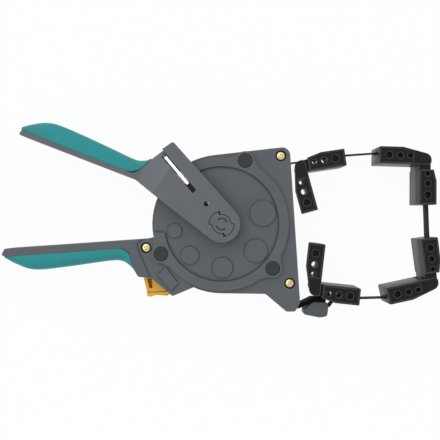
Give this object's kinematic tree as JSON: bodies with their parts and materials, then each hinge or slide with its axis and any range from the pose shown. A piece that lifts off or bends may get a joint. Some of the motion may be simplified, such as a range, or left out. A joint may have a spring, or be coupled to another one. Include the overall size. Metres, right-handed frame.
{
  "type": "ratchet band clamp",
  "caption": "Ratchet band clamp with a disc housing, squeeze lever, fixed handle, release trigger and a flat band that carries hinged corner jaws round a square frame.",
  "frame": {"origin": "on the hub axis at the back face of the housing", "axes": "+X from the hub towards the jaws, +Y towards the lever's side, +Z along the hub axis out of the front face; the clamp lies on its back"},
  "size_m": [0.3774, 0.1696, 0.0385],
  "materials": {
    "gray_plastic": "fine matte texture",
    "lever_gray": "fine matte texture",
    "teal_grip": "soft matte",
    "black_plastic": "fine matte texture",
    "dark_plug": "smooth",
    "yellow_plastic": "smooth",
    "band": "flat webbing",
    "steel": "bright",
    "yellow_zinc": "yellow zinc plate",
    "brass": "plain"
  },
  "bodies": {
    "housing": {"rear_shell": "gray_plastic", "front_shell": "gray_plastic", "spool_cover": "gray_plastic", "boss_plug_1": "dark_plug", "boss_plug_2": "dark_plug", "boss_plug_3": "dark_plug", "cover_screw_1": "steel", "cover_screw_2": "steel", "cover_screw_3": "steel", "shell_screw_1": "yellow_zinc", "shell_screw_2": "yellow_zinc", "shell_screw_3": "yellow_zinc", "fixed_grip": "teal_grip", "rear_bush": "brass", "front_bush": "brass", "guide_pin": "steel", "hook_post": "steel", "holding_pawl_pin": "steel", "trigger_pin": "steel", "trigger_spring": "steel", "band_feed": "band", "tl_band_leg": "black_plastic", "tl_pin": "steel", "tr_band_leg": "black_plastic", "tr_pin": "steel", "tr_band_bend": "band"},
    "lever": {"lever_body": "lever_gray", "lever_grip": "teal_grip", "lever_base": "steel", "hub_lock": "lever_gray", "drive_pawl_spring": "steel"},
    "drive_pawl": {"drive_pawl": "steel"},
    "spool": {"spool": "black_plastic", "spool_axle": "steel", "ratchet_wheel": "steel", "drive_wheel": "steel", "band_roll": "band", "axle_washer": "steel"},
    "trigger": {"release_trigger": "yellow_plastic"},
    "holding_pawl": {"holding_pawl": "steel"},
    "tl_free_leg": {"tl_corner_leg": "black_plastic"},
    "right_side": {"tr_corner_leg": "black_plastic", "band_right": "band", "br_corner_leg": "black_plastic", "br_pin": "steel", "br_band_bend": "band"},
    "bottom_side": {"br_band_leg": "black_plastic", "band_bottom": "band", "bl_band_leg": "black_plastic", "bl_pin": "steel", "hook_tab": "gray_plastic", "band_hook": "black_plastic"},
    "bl_free_leg": {"bl_corner_leg": "black_plastic"}
  },
  "joints": [
    {"name": "lever_squeeze", "type": "hinge", "parent": "housing", "child": "lever", "pos_m": [0, 0, 0.013], "axis": [0, 0, 1], "range_deg": [0, 24]},
    {"name": "spool_turn", "type": "hinge", "parent": "housing", "child": "spool", "pos_m": [0, 0, 0.013], "axis": [0, 0, 1], "range_deg": [0, 24]},
    {"name": "drive_pawl_slide", "type": "slide", "parent": "lever", "child": "drive_pawl", "axis": [-0.6428, 0.766, 0], "range_m": [0, 0.003], "stiffness_N_per_m": 300, "springref_m": -0.002, "deforming": ["drive_pawl_spring"]},
    {"name": "trigger_pull", "type": "hinge", "parent": "housing", "child": "trigger", "pos_m": [-0.06, -0.0406, 0.013], "axis": [0, 0, 1], "range_deg": [0, 12], "stiffness_Nm_per_rad": 0.2, "springref_deg": -5.73},
    {"name": "holding_pawl_lift", "type": "hinge", "parent": "housing", "child": "holding_pawl", "pos_m": [-0.0535, -0.0245, 0.013], "axis": [0, 0, 1], "range_deg": [-16, 0]},
    {"name": "tl_leg_swing", "type": "hinge", "parent": "housing", "child": "tl_free_leg", "pos_m": [0.0693, 0.0479, 0.013], "axis": [0, 0, 1], "range_deg": [-5, 15]},
    {"name": "tr_corner_open", "type": "hinge", "parent": "housing", "child": "right_side", "pos_m": [0.1732, 0.0545, 0.013], "axis": [0, 0, 1], "range_deg": [0, 75], "deforming": ["tr_band_bend"]},
    {"name": "br_corner_open", "type": "hinge", "parent": "right_side", "child": "bottom_side", "pos_m": [0.179, -0.0503, 0.013], "axis": [0, 0, 1], "range_deg": [0, 75], "deforming": ["br_band_bend"]},
    {"name": "bl_leg_swing", "type": "hinge", "parent": "bottom_side", "child": "bl_free_leg", "pos_m": [0.0815, -0.0549, 0.013], "axis": [0, 0, 1], "range_deg": [-18, 12]}
  ],
  "couplings": [
    {"joint": "spool_turn", "follows": "lever_squeeze", "ratio": 1},
    {"joint": "holding_pawl_lift", "follows": "trigger_pull", "ratio": -1.3}
  ]
}
